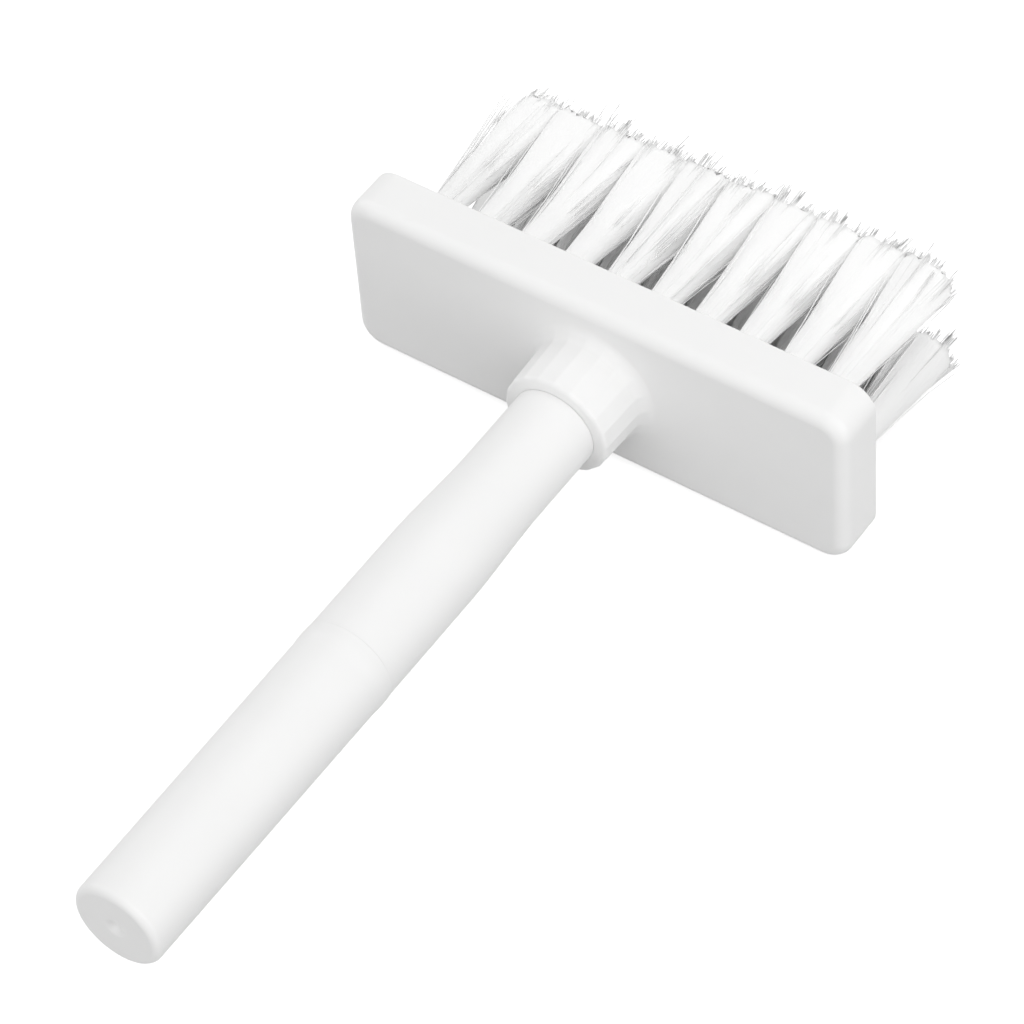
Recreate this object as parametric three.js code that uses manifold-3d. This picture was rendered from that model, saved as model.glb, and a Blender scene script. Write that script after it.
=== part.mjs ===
// A keyboard cleaning brush: a wide brush head with two rows of tufts on a round, pen-like handle.
// The head pulls off the front of the handle and bares a metal nib. The handle's long rear half is
// a cap that pulls off and bares a keycap puller of two sprung wire loops.
// Millimetres. +X runs along the head, +Y from the handle's tail to the bristle tips, +Z is up.
// The origin is the middle of the head's underside, on which the brush lies.

import * as THREE from "three";
import { mergeVertices } from "three/addons/utils/BufferGeometryUtils.js";
import Module from "manifold-3d";

const wasm = await Module();
wasm.setup();

// Head shell
const HEAD_WIDTH = 100;
const HEAD_HEIGHT = 35;
const HEAD_DEPTH = 9.8;
const HEAD_CORNER_RADIUS = 5;
const HEAD_EDGE_RADIUS = 2.6;
const HEAD_WALL = 2;
const FRONT_WALL = 2;

// Faceted boss that takes the handle
const BOSS_LENGTH = 11.2;
const BOSS_STEP = 2.4;
const BOSS_DRAFT = 0.3;
const BOSS_FACETS = 20;
const BOSS_FILLET = 2.4;
const BOSS_RIM = 0.6;

// Handle barrel
const BARREL_LENGTH = 59.2;
const BARREL_RADIUS = 8.56;
const NECK_RADIUS = 7.84;
const NECK_LENGTH = 15;
const NECK_FLARE = 21;
const SHOULDER_ROUND = 0.3;
const SHOULDER_WIDTH = 1.4;
const SPIGOT_WALL = 1.8;
const SPIGOT_CHAMFER = 0.5;
const SPIGOT_FLAT_DEPTH = 0.7;
const REAR_SPIGOT_LENGTH = 10;
const REAR_EDGE_ROUND = 0.25;

// Cap
const CAP_LENGTH = 62;
const CAP_TAIL_RADIUS = 8.33;
const CAP_WALL = 1.5;
const CAP_END_WALL = 3;
const CAP_RIM_ROUND = 1.45;
const CAP_LIP_HEIGHT = 0.16;
const CAP_LIP_WIDTH = 0.9;
const DIMPLE_RADIUS = 1.9;
const DIMPLE_DEPTH = 0.8;

// Tufts and their block
const TUFTS_PER_ROW = 10;
const TUFT_END_MARGIN = 10.4;
const TUFT_ROW_MARGIN = 8.6;
const TUFT_HOLE_RADIUS = 2.3;
const TUFT_HOLE_DEPTH = 4.8;
const STRIP_DEPTH = 1.2;
const STRIP_MARGIN = 0.6;
const STRANDS_PER_TUFT = 24;
const STRAND_RADIUS = 0.24;
const STRAND_TIP_RADIUS = 0.17;
const STRAND_ROOT_DEPTH = 0.4;
const BRISTLE_LENGTH = 32.6;
const BRISTLE_UNEVENNESS = 1.2;
const TUFT_FAN = 0.98;
const TUFT_GAP = 0.2;

// Wire anchor at the bottom of each tuft
const STAPLE_BITE = 0.4;
const STAPLE_HEIGHT = 1.6;
const STAPLE_THICKNESS = 0.45;

// Nib under the head
const NIB_RADIUS = 1;
const NIB_POINT_RADIUS = 0.3;
const NIB_POINT_LENGTH = 4.2;
const NIB_SHANK_LENGTH = 14;
const NIB_HOLDER_LENGTH = 16;
const NIB_HOLDER_FLANGE = 1;
const NIB_HOLDER_NOSE = 1.4;
const NIB_HOLDER_WALL = 0.8;
const NIB_RECESS_CLEARANCE = 0.9;

// Keycap puller under the cap
const WIRE_RADIUS = 0.6;
const WIRE_STEPS = 60;
const WIRE_ARC_STEPS = 3;
const WIRE_TIP_ROOM = 8;
const WIRE_SWING_ROOM = 0.45;
const WIRE_HOOK = 2.4;
const WIRE_HOOK_RISE = 5;
const WIRE_FLARE = 20;
const WIRE_SOCKET_DEPTH = 12;
const WIRE_LEG_ANGLE = THREE.MathUtils.degToRad(40);
const WIRE_LOOP_ANGLE = THREE.MathUtils.degToRad(30);
const WIRE_BEND_TENSION = 0.2;
const PLUG_LENGTH = 15;
const PLUG_FLANGE = 2;
const PLUG_WEB = 0.4;

// Fits
const SEAM_GAP = 0.2;
const FIT_CLEARANCE = 0.2;
const SEAT_CLEARANCE = 0.3;

// Fineness of round forms
const TURNS = 32;
const ARC_STEPS = 4;
const CORNER_STEPS = 4;
const HOLE_SIDES = 10;
const WELD = 1e-4;

// Places along the handle, measured from the middle of the head's depth
const headFront = -HEAD_DEPTH / 2;
const headRear = HEAD_DEPTH / 2;
const pocketFloor = headFront + FRONT_WALL;
const blockFront = pocketFloor + SEAT_CLEARANCE;
const blockRear = headRear - SEAT_CLEARANCE;
const bossEnd = headFront - BOSS_LENGTH;
const barrelFront = bossEnd - SEAM_GAP;
const barrelRear = barrelFront - BARREL_LENGTH;
const holderNoseEnd = blockFront - SEAT_CLEARANCE;
const holderFlangeEnd = holderNoseEnd - NIB_HOLDER_NOSE;
const spigotFront = holderFlangeEnd - NIB_HOLDER_FLANGE - SEAT_CLEARANCE;
const spigotRear = barrelRear - REAR_SPIGOT_LENGTH;
const plugFlangeEnd = spigotRear - SEAT_CLEARANCE - PLUG_FLANGE;
const capMouth = barrelRear - SEAM_GAP;
const capEnd = capMouth - CAP_LENGTH;
const capFloor = capEnd + CAP_END_WALL;
const wireTip = capFloor + WIRE_TIP_ROOM;
const nibTip = holderNoseEnd + NIB_POINT_LENGTH;
const holeFloor = blockRear - TUFT_HOLE_DEPTH;

// Radii that follow from the fits
const bossRadius = NECK_RADIUS + BOSS_STEP;
const frontSpigotRadius = NECK_RADIUS - SHOULDER_WIDTH;
const spigotFlat = frontSpigotRadius - SPIGOT_FLAT_DEPTH;
const capBore = Math.min(BARREL_RADIUS, CAP_TAIL_RADIUS) - CAP_WALL;
const rearSpigotRadius = capBore - FIT_CLEARANCE;
const barrelBore = Math.min(frontSpigotRadius, rearSpigotRadius) - SPIGOT_WALL;
const plugRadius = barrelBore - FIT_CLEARANCE;
const spigotLandRadius = (barrelBore + Math.min(spigotFlat, rearSpigotRadius)) / 2;
const wireHoleRadius = WIRE_RADIUS + FIT_CLEARANCE;
const wireLegRadius = plugRadius - PLUG_WEB - wireHoleRadius;
const wireLoopRadius = capBore - WIRE_SWING_ROOM - WIRE_RADIUS;
const nibHoleRadius = NIB_RADIUS + FIT_CLEARANCE;
const nibRecessRadius = nibHoleRadius + NIB_RECESS_CLEARANCE;
const tuftRootRadius = TUFT_HOLE_RADIUS - SEAT_CLEARANCE;

// Places of the tufts in the plane of the head
const tuftRowHeight = HEAD_HEIGHT / 2 - TUFT_ROW_MARGIN;
const tuftSpan = HEAD_WIDTH / 2 - TUFT_END_MARGIN;
const tuftPitch = (2 * tuftSpan) / (TUFTS_PER_ROW - 1);
const stripHeight = 2 * (TUFT_HOLE_RADIUS + STRIP_MARGIN);
const stripLength = 2 * tuftSpan + stripHeight;

const GOLDEN_ANGLE = Math.PI * (3 - Math.sqrt(5));
const UP_THE_HANDLE = new THREE.Vector3(0, 1, 0);

const white = () => new THREE.MeshStandardMaterial({ color: 0xf2f2f1, roughness: 0.38, metalness: 0 });
const nylon = () => new THREE.MeshStandardMaterial({ color: 0xf4f4f3, roughness: 0.45, metalness: 0 });
const grey = () => new THREE.MeshStandardMaterial({ color: 0xdcdcda, roughness: 0.5, metalness: 0 });
const steel = () => new THREE.MeshStandardMaterial({ color: 0xb9bcc0, roughness: 0.28, metalness: 1 });

// A solid from a closed geometry, with its shared corners welded.
function solid(geometry) {
  const loose = geometry.index ? geometry.toNonIndexed() : geometry;
  const bare = new THREE.BufferGeometry();
  bare.setAttribute("position", loose.getAttribute("position"));
  const welded = mergeVertices(bare, WELD);
  const corners = welded.index.array;
  const triVerts = [];
  for (let i = 0; i < corners.length; i += 3) {
    const [a, b, c] = corners.slice(i, i + 3);
    if (a !== b && b !== c && c !== a) triVerts.push(a, b, c);
  }
  return new wasm.Manifold(
    new wasm.Mesh({
      numProp: 3,
      vertProperties: welded.getAttribute("position").array,
      triVerts: new Uint32Array(triVerts),
    }),
  );
}

// A named mesh from a finished solid.
function piece(name, body, material) {
  const { vertProperties, triVerts } = body.getMesh();
  const geometry = new THREE.BufferGeometry();
  geometry.setAttribute("position", new THREE.BufferAttribute(vertProperties, 3));
  geometry.setIndex(new THREE.BufferAttribute(triVerts, 1));
  geometry.computeVertexNormals();
  const mesh = new THREE.Mesh(geometry, material);
  mesh.name = name;
  return mesh;
}

// A box between two corners.
function block(low, high) {
  const size = high.map((value, axis) => value - low[axis]);
  const middle = high.map((value, axis) => (value + low[axis]) / 2);
  return solid(new THREE.BoxGeometry(...size).translate(...middle));
}

// A round bar along the handle's direction.
function bar(radius, from, to, x = 0, z = 0, sides = HOLE_SIDES) {
  const length = to - from;
  const geometry = new THREE.CylinderGeometry(radius, radius, length, sides);
  return solid(geometry.translate(x, from + length / 2, z));
}

// A form turned about the handle's axis, from points of [radius, place along the axis].
function turned(profile, turns = TURNS) {
  const points = profile.map(([radius, y]) => new THREE.Vector2(radius, y));
  return solid(new THREE.LatheGeometry(points, turns));
}

// Points of a quarter round from one angle to another, as [radius, place along the axis].
function quarterRound(centreRadius, centreY, round, from, to) {
  return Array.from({ length: ARC_STEPS + 1 }, (_, i) => {
    const angle = THREE.MathUtils.degToRad(from + ((to - from) * i) / ARC_STEPS);
    return [centreRadius + round * Math.cos(angle), centreY + round * Math.sin(angle)];
  });
}

// The head's outline, drawn in by an inset.
function headOutline(inset) {
  const x = HEAD_WIDTH / 2 - inset;
  const z = HEAD_HEIGHT / 2 - inset;
  const radius = Math.max(HEAD_CORNER_RADIUS - inset, HEAD_WALL / 2);
  const shape = new THREE.Shape();
  shape.moveTo(-x + radius, -z);
  shape.absarc(x - radius, -z + radius, radius, -Math.PI / 2, 0);
  shape.absarc(x - radius, z - radius, radius, 0, Math.PI / 2);
  shape.absarc(-x + radius, z - radius, radius, Math.PI / 2, Math.PI);
  shape.absarc(-x + radius, -z + radius, radius, Math.PI, 1.5 * Math.PI);
  return shape;
}

// A plate of the head's outline between two places along the handle, with an optional front edge round.
function headPlate(inset, from, to, edge = 0) {
  const geometry = new THREE.ExtrudeGeometry(headOutline(inset), {
    depth: to - from,
    curveSegments: CORNER_STEPS,
    bevelEnabled: edge > 0,
    bevelThickness: edge,
    bevelSize: edge,
    bevelOffset: -edge,
    bevelSegments: ARC_STEPS,
  });
  geometry.rotateX(-Math.PI / 2);
  return solid(geometry.translate(0, from + edge, 0));
}

// The shell: a rounded plate with a pocket behind and a faceted boss with a keyed socket in front.
function headShell() {
  const reach = HEAD_WIDTH;
  const plate = headPlate(0, headFront, headRear, HEAD_EDGE_RADIUS);
  const behind = block([-reach, headRear, -reach], [reach, reach, reach]);
  const baseRadius = bossRadius + BOSS_DRAFT;
  const boss = turned(
    [
      [0, bossEnd],
      ...quarterRound(bossRadius - BOSS_RIM, bossEnd + BOSS_RIM, BOSS_RIM, -90, 0),
      ...quarterRound(baseRadius + BOSS_FILLET, headFront - BOSS_FILLET, BOSS_FILLET, 180, 90),
      [baseRadius + BOSS_FILLET, pocketFloor],
      [0, pocketFloor],
    ],
    BOSS_FACETS,
  );
  const pocket = headPlate(HEAD_WALL, pocketFloor, headRear + HEAD_WALL);
  const bore = bar(frontSpigotRadius + FIT_CLEARANCE, bossEnd - SEAM_GAP, headRear, 0, 0, TURNS);
  const flat = spigotFlat + FIT_CLEARANCE;
  const key = block([-reach, bossEnd - SEAM_GAP, -flat], [reach, headRear, flat]);
  return plate.subtract(behind).add(boss).subtract(pocket).subtract(bore.intersect(key));
}

// The centres of one row's tufts.
function tuftCentres(side) {
  return Array.from({ length: TUFTS_PER_ROW }, (_, i) => ({
    x: -tuftSpan + i * tuftPitch,
    z: side * tuftRowHeight,
  }));
}

// The wire anchor across the bottom of a tuft hole, grown by a clearance to cut its slot.
function staple({ x, z }, grow = 0) {
  const halfThickness = STAPLE_THICKNESS / 2 + grow;
  const halfLength = TUFT_HOLE_RADIUS + STAPLE_BITE + grow;
  const bottom = holeFloor + FIT_CLEARANCE - grow;
  const top = holeFloor + FIT_CLEARANCE + STAPLE_HEIGHT + grow;
  return block([x - halfThickness, bottom, z - halfLength], [x + halfThickness, top, z + halfLength]);
}

// The strip that joins one row's tufts, grown by a clearance to cut its channel.
function rowStrip(side, grow = 0) {
  const middle = side * tuftRowHeight;
  const halfLength = stripLength / 2 + grow;
  const halfHeight = stripHeight / 2 + grow;
  return block(
    [-halfLength, blockRear - STRIP_DEPTH - grow, middle - halfHeight],
    [halfLength, blockRear + grow, middle + halfHeight],
  );
}

// The block that fills the head's pocket, with blind tuft holes behind and room for the nib in front.
function tuftBlock() {
  let body = headPlate(HEAD_WALL + SEAT_CLEARANCE, blockFront, blockRear);
  for (const side of [-1, 1]) {
    body = body.subtract(rowStrip(side, SEAT_CLEARANCE));
    for (const centre of tuftCentres(side)) {
      body = body.subtract(bar(TUFT_HOLE_RADIUS, holeFloor, blockRear, centre.x, centre.z));
      body = body.subtract(staple(centre, FIT_CLEARANCE));
    }
  }
  const recess = bar(nibRecessRadius, pocketFloor, nibTip + NIB_RECESS_CLEARANCE);
  return body.subtract(recess);
}

// One strand from its root in the strip to its free tip.
function strand(root, tip) {
  const along = tip.clone().sub(root);
  const geometry = new THREE.CylinderGeometry(STRAND_TIP_RADIUS, STRAND_RADIUS, along.length(), 3);
  const turn = new THREE.Quaternion().setFromUnitVectors(UP_THE_HANDLE, along.clone().normalize());
  const middle = root.clone().add(tip).divideScalar(2);
  return solid(geometry.applyQuaternion(turn).translate(middle.x, middle.y, middle.z));
}

// One row of tufts: folded roots in their holes, the strip that joins them, and spreading strands.
// Every strand of a tuft widens from the tuft's middle by the same share, so no two cross.
function bristleRow(side) {
  const rootSpread = tuftRootRadius - STRAND_RADIUS;
  const tipSpread = (tuftPitch * TUFT_FAN) / 2 - TUFT_GAP - STRAND_TIP_RADIUS;
  const bodies = [rowStrip(side)];
  const cuts = [];
  tuftCentres(side).forEach((centre, tuft) => {
    const rootFloor = holeFloor + SEAT_CLEARANCE;
    const rootTop = blockRear - STRIP_DEPTH / 2;
    bodies.push(bar(tuftRootRadius, rootFloor, rootTop, centre.x, centre.z));
    cuts.push(staple(centre, FIT_CLEARANCE));
    for (let i = 0; i < STRANDS_PER_TUFT; i++) {
      const share = Math.sqrt((i + 0.5) / STRANDS_PER_TUFT);
      const angle = (i + tuft) * GOLDEN_ANGLE;
      const across = share * Math.cos(angle);
      const upward = share * Math.sin(angle);
      const length = BRISTLE_LENGTH + BRISTLE_UNEVENNESS * Math.sin(angle * (tuft + 2));
      const root = new THREE.Vector3(
        centre.x + rootSpread * across,
        blockRear - STRAND_ROOT_DEPTH,
        centre.z + rootSpread * upward,
      );
      const tip = new THREE.Vector3(
        centre.x * TUFT_FAN + tipSpread * across,
        blockRear + length,
        centre.z + tipSpread * upward,
      );
      bodies.push(strand(root, tip));
    }
  });
  return wasm.Manifold.union(bodies).subtract(wasm.Manifold.union(cuts));
}

// The barrel's outer radius on its flare, from 0 at the neck's end to 1 at full width.
function flareRadius(share) {
  return THREE.MathUtils.lerp(NECK_RADIUS, BARREL_RADIUS, THREE.MathUtils.smoothstep(share, 0, 1));
}

// The barrel: a hollow tube with a keyed spigot for the head and a plain spigot for the cap.
function barrel() {
  const neckEnd = barrelFront - NECK_LENGTH;
  const flare = Array.from({ length: ARC_STEPS + 2 }, (_, i) => {
    const share = 1 - i / (ARC_STEPS + 1);
    return [flareRadius(share), neckEnd - share * NECK_FLARE];
  });
  const shoulderCentre = [NECK_RADIUS - SHOULDER_ROUND, barrelFront - SHOULDER_ROUND];
  const shoulder = quarterRound(...shoulderCentre, SHOULDER_ROUND, 0, 90);
  const tube = turned([
    [barrelBore, spigotRear],
    [rearSpigotRadius - SPIGOT_CHAMFER, spigotRear],
    [rearSpigotRadius, spigotRear + SPIGOT_CHAMFER],
    [rearSpigotRadius, barrelRear],
    [BARREL_RADIUS - REAR_EDGE_ROUND, barrelRear],
    [BARREL_RADIUS, barrelRear + REAR_EDGE_ROUND],
    ...flare,
    ...shoulder,
    [frontSpigotRadius, barrelFront],
    [frontSpigotRadius, spigotFront - SPIGOT_CHAMFER],
    [frontSpigotRadius - SPIGOT_CHAMFER, spigotFront],
    [barrelBore, spigotFront],
    [barrelBore, spigotRear],
  ]);
  const reach = 2 * BARREL_RADIUS;
  const above = block([-reach, barrelFront, spigotFlat], [reach, headRear, reach]);
  const below = block([-reach, barrelFront, -reach], [reach, headRear, -spigotFlat]);
  return tube.subtract(above).subtract(below);
}

// The cap: a closed tube with a slight lip at its mouth and a moulding dimple in its end.
function cap() {
  const lipRadius = BARREL_RADIUS + CAP_LIP_HEIGHT;
  const dimple = Array.from({ length: ARC_STEPS }, (_, i) => {
    const share = i / (ARC_STEPS - 1);
    return [DIMPLE_RADIUS * share, capEnd + DIMPLE_DEPTH * (1 - share * share)];
  });
  return turned([
    ...dimple,
    ...quarterRound(CAP_TAIL_RADIUS - CAP_RIM_ROUND, capEnd + CAP_RIM_ROUND, CAP_RIM_ROUND, -90, 0),
    [BARREL_RADIUS, capMouth - 2 * CAP_LIP_WIDTH],
    [lipRadius, capMouth - CAP_LIP_WIDTH],
    [lipRadius, capMouth - CAP_LIP_HEIGHT],
    [BARREL_RADIUS, capMouth],
    [capBore, capMouth],
    [capBore, capFloor],
    [0, capFloor],
  ]);
}

// The plug that carries the nib in the front of the barrel, with a flange against the spigot's end.
function nibHolder() {
  const noseRadius = nibHoleRadius + NIB_HOLDER_WALL;
  const body = turned([
    [0, holderFlangeEnd - NIB_HOLDER_LENGTH],
    [plugRadius - SPIGOT_CHAMFER, holderFlangeEnd - NIB_HOLDER_LENGTH],
    [plugRadius, holderFlangeEnd - NIB_HOLDER_LENGTH + SPIGOT_CHAMFER],
    [plugRadius, holderFlangeEnd - NIB_HOLDER_FLANGE],
    [spigotLandRadius, holderFlangeEnd - NIB_HOLDER_FLANGE],
    [spigotLandRadius, holderFlangeEnd],
    [noseRadius, holderNoseEnd],
    [0, holderNoseEnd],
  ]);
  const hole = bar(nibHoleRadius, holderNoseEnd - NIB_SHANK_LENGTH - SEAT_CLEARANCE, headRear);
  return body.subtract(hole);
}

// The metal nib: a straight shank with a long blunt point.
function metalNib() {
  return turned(
    [
      [0, holderNoseEnd - NIB_SHANK_LENGTH],
      [NIB_RADIUS, holderNoseEnd - NIB_SHANK_LENGTH],
      [NIB_RADIUS, holderNoseEnd],
      ...quarterRound(0, nibTip - NIB_POINT_RADIUS, NIB_POINT_RADIUS, 0, 90),
    ],
    HOLE_SIDES,
  );
}

// The four places where wire legs enter the puller's plug.
function wireLegs() {
  const x = wireLegRadius * Math.cos(WIRE_LEG_ANGLE);
  const z = wireLegRadius * Math.sin(WIRE_LEG_ANGLE);
  return [-1, 1].flatMap((sideX) => [-1, 1].map((sideZ) => ({ x: sideX * x, z: sideZ * z })));
}

// The plug that holds the puller's wires in the rear of the barrel.
function pullerPlug() {
  const flangeStart = plugFlangeEnd + PLUG_FLANGE;
  let body = turned([
    [0, plugFlangeEnd],
    [spigotLandRadius, plugFlangeEnd],
    [spigotLandRadius, flangeStart],
    [plugRadius, flangeStart],
    [plugRadius, plugFlangeEnd + PLUG_LENGTH - SPIGOT_CHAMFER],
    [plugRadius - SPIGOT_CHAMFER, plugFlangeEnd + PLUG_LENGTH],
    [0, plugFlangeEnd + PLUG_LENGTH],
  ]);
  for (const { x, z } of wireLegs()) {
    const depth = plugFlangeEnd + WIRE_SOCKET_DEPTH + SEAT_CLEARANCE;
    body = body.subtract(bar(wireHoleRadius, plugFlangeEnd - PLUG_FLANGE, depth, x, z));
  }
  return body;
}

// One wire loop of the puller: two legs, a flare to the cap's bore, and a hooked foot turned inwards.
function pullerWire(side) {
  const legX = wireLegRadius * Math.cos(WIRE_LEG_ANGLE);
  const legZ = wireLegRadius * Math.sin(WIRE_LEG_ANGLE);
  const loopX = wireLoopRadius * Math.cos(WIRE_LOOP_ANGLE);
  const loopZ = wireLoopRadius * Math.sin(WIRE_LOOP_ANGLE);
  const leg = [
    [legX, plugFlangeEnd + WIRE_SOCKET_DEPTH, legZ],
    [legX, plugFlangeEnd - PLUG_FLANGE, legZ],
    [loopX, plugFlangeEnd - PLUG_FLANGE - WIRE_FLARE, loopZ],
    [loopX, wireTip + WIRE_HOOK_RISE, loopZ],
    [loopX - WIRE_HOOK, wireTip + WIRE_RADIUS, loopZ],
  ];
  const back = leg.map(([x, y, z]) => [x, y, -z]).reverse();
  const points = [...leg, ...back].map(([x, y, z]) => new THREE.Vector3(side * x, y, z));
  const route = new THREE.CatmullRomCurve3(points, false, "catmullrom", WIRE_BEND_TENSION);
  const section = new THREE.Shape();
  section.absarc(0, 0, WIRE_RADIUS, 0, 2 * Math.PI);
  return solid(
    new THREE.ExtrudeGeometry(section, {
      steps: WIRE_STEPS,
      curveSegments: WIRE_ARC_STEPS,
      bevelEnabled: false,
      extrudePath: route,
    }),
  );
}

// The whole brush, with the handle's axis level at half the head's height.
const assembly = new THREE.Group();
assembly.position.z = HEAD_HEIGHT / 2;
assembly.add(
  piece("head_shell", headShell(), white()),
  piece("tuft_block", tuftBlock(), white()),
  piece("bristle_row_upper", bristleRow(1), nylon()),
  piece("bristle_row_lower", bristleRow(-1), nylon()),
  piece("barrel", barrel(), white()),
  piece("cap", cap(), white()),
  piece("nib_holder", nibHolder(), grey()),
  piece("metal_nib", metalNib(), steel()),
  piece("puller_plug", pullerPlug(), grey()),
  piece("puller_wire_left", pullerWire(-1), steel()),
  piece("puller_wire_right", pullerWire(1), steel()),
);
[...tuftCentres(1), ...tuftCentres(-1)].forEach((centre, i) => {
  const name = `anchor_staple_${String(i + 1).padStart(2, "0")}`;
  assembly.add(piece(name, staple(centre), steel()));
});

const brush = new THREE.Group();
brush.name = "keyboard_cleaning_brush";
brush.add(assembly);

export default brush;
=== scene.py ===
import math

import bmesh
import bpy
import numpy as np
from mathutils import Matrix, Vector


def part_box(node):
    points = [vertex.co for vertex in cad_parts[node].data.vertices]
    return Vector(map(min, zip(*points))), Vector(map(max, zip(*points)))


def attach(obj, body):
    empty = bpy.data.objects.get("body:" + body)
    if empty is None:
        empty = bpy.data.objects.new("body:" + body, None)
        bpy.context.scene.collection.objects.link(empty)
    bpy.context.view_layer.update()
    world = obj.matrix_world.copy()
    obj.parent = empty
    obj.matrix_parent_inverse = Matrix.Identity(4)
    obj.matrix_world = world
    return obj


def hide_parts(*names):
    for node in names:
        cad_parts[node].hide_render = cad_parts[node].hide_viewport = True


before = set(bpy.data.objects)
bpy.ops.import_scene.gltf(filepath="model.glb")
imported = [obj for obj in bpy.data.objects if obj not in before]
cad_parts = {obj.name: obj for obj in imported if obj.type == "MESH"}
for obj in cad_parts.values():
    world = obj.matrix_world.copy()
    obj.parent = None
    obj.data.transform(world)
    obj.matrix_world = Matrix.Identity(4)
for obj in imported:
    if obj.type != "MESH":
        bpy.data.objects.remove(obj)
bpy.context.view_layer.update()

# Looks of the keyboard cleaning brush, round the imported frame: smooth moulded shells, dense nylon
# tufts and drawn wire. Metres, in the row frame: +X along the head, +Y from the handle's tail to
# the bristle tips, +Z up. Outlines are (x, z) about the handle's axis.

MM = 0.001

# Places and sizes that the frame gives
HEAD_LOW, HEAD_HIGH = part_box("head_shell")
BLOCK_LOW, BLOCK_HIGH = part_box("tuft_block")
BARREL_LOW, BARREL_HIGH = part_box("barrel")
CAP_LOW, CAP_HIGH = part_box("cap")
HOLDER_LOW, HOLDER_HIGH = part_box("nib_holder")
NIB_LOW, NIB_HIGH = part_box("metal_nib")
PLUG_LOW, PLUG_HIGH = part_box("puller_plug")
WIRE_LOW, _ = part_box("puller_wire_right")
UPPER_LOW, UPPER_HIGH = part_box("bristle_row_upper")
LOWER_LOW, LOWER_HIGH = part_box("bristle_row_lower")

AXIS_Z = (HEAD_LOW[2] + HEAD_HIGH[2]) / 2
HEAD_HALF_WIDTH = (HEAD_HIGH[0] - HEAD_LOW[0]) / 2
HEAD_HALF_HEIGHT = (HEAD_HIGH[2] - HEAD_LOW[2]) / 2
HEAD_REAR = HEAD_HIGH[1]
BOSS_END = HEAD_LOW[1]

# Head shell
HEAD_DEPTH = 9.8 * MM
HEAD_FRONT = HEAD_REAR - HEAD_DEPTH
HEAD_CORNER = 5 * MM
LEAST_CORNER = 1 * MM
HEAD_EDGE = 2.6 * MM
HEAD_WALL = 2 * MM
FRONT_WALL = 2 * MM
REAR_EDGE = 0.25 * MM
POCKET_FLOOR = HEAD_FRONT + FRONT_WALL

# Faceted boss
BOSS_RADIUS = 10.24 * MM
BOSS_DRAFT = 0.3 * MM
BOSS_FACETS = 20
BOSS_CORNER = 1.6 * MM
FACET_HOLLOW = 0.015 * MM
BOSS_FILLET = 2.4 * MM
FILLET_SWELL = 1.01
BOSS_RIM = 0.9 * MM
SOCKET_RADIUS = 6.64 * MM
SOCKET_FLAT = 5.94 * MM
SOCKET_LEAD = 0.35 * MM

# Barrel
BARREL_RADIUS = 8.56 * MM
NECK_RADIUS = 7.84 * MM
NECK_LENGTH = 15 * MM
NECK_FLARE = 21 * MM
SHOULDER_ROUND = 0.15 * MM
SHOULDER_PLAY = 0.04 * MM
BARREL_FRONT = BOSS_END - SHOULDER_PLAY
REAR_SPIGOT_LENGTH = 9.93 * MM
BARREL_REAR = BARREL_LOW[1] + REAR_SPIGOT_LENGTH
FRONT_SPIGOT_RADIUS = 6.44 * MM
SPIGOT_FLAT = 5.74 * MM
FLATS_START = 0.05 * MM
REAR_SPIGOT_RADIUS = 6.63 * MM
BARREL_BORE = 4.64 * MM
SPIGOT_CHAMFER = 0.5 * MM
SEAM_ROUND = 0.05 * MM

# Cap, whose mouth reaches a little past its solid, for a seam as fine as the photograph's
MOUTH_REACH = 0.1 * MM
CAP_MOUTH = CAP_HIGH[1] + MOUTH_REACH
CAP_END = CAP_LOW[1]
CAP_END_WALL = 3 * MM
CAP_FLOOR = CAP_END + CAP_END_WALL
CAP_TAIL_RADIUS = 8.33 * MM
CAP_BORE = 6.83 * MM
CAP_RIM = 1.45 * MM
CAP_LIP_HEIGHT = 0.14 * MM
CAP_LIP_LENGTH = 4.2 * MM
CAP_LIP_CREST = 2 * MM
DIMPLE_RADIUS = 2.1 * MM
DIMPLE_DEPTH = 1 * MM

# Tuft block
BLOCK_PLAY = 0.3 * MM
BLOCK_EDGE = 0.15 * MM
NIB_RECESS_RADIUS = 2.1 * MM
NIB_RECESS_PLAY = 0.9 * MM
TUFTS_PER_ROW = 10
TUFT_SPAN = 39.6 * MM
TUFT_HOLE = 2.2 * MM
TUFT_HOLE_DEPTH = 3 * MM
TUFT_HOLE_CHAMFER = 0.2 * MM

# Tufts: their spread, from round in the hole to nearly square at the tips, and their lean
TUFT_ROOT_RADIUS = 1.85 * MM
TUFT_TIP_RADIUS = 4.85 * MM
ROUND_POWER = 2
TUFT_TIP_POWER = 7
TUFT_SQUARE_START = 0.5
UPPER_FAN = 0.98
UPPER_LEAN = 1.4 * MM
LOWER_FAN = 1.045
LOWER_LEAN = -1.2 * MM
END_TOLERANCE = 1 * MM
GLOW_LIFT = 1.0

# Filaments
FILAMENTS_PER_TUFT = 420
FILAMENT_RADIUS = 0.11 * MM
FILAMENT_TIP_RADIUS = 0.075 * MM
FILAMENT_STEPS = 5
FILAMENT_SIDES = 4
FILAMENT_LENGTH = 33 * MM
FILAMENT_LENGTH_SLOPE = 0.02
FILAMENT_RAGGEDNESS = 0.5 * MM
FILAMENT_ANCHORAGE = 1.5 * MM
FILAMENT_LEAN = 0.12 * MM
FILAMENT_WANDER = 0.05 * MM
FILAMENT_BEND = 1.5
FILAMENT_PACKING = 0.3
PACKING_SCATTER = 0.012
SURFACE_SINK = 0.985
GOLDEN_ANGLE = math.pi * (3 - math.sqrt(5))

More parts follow.
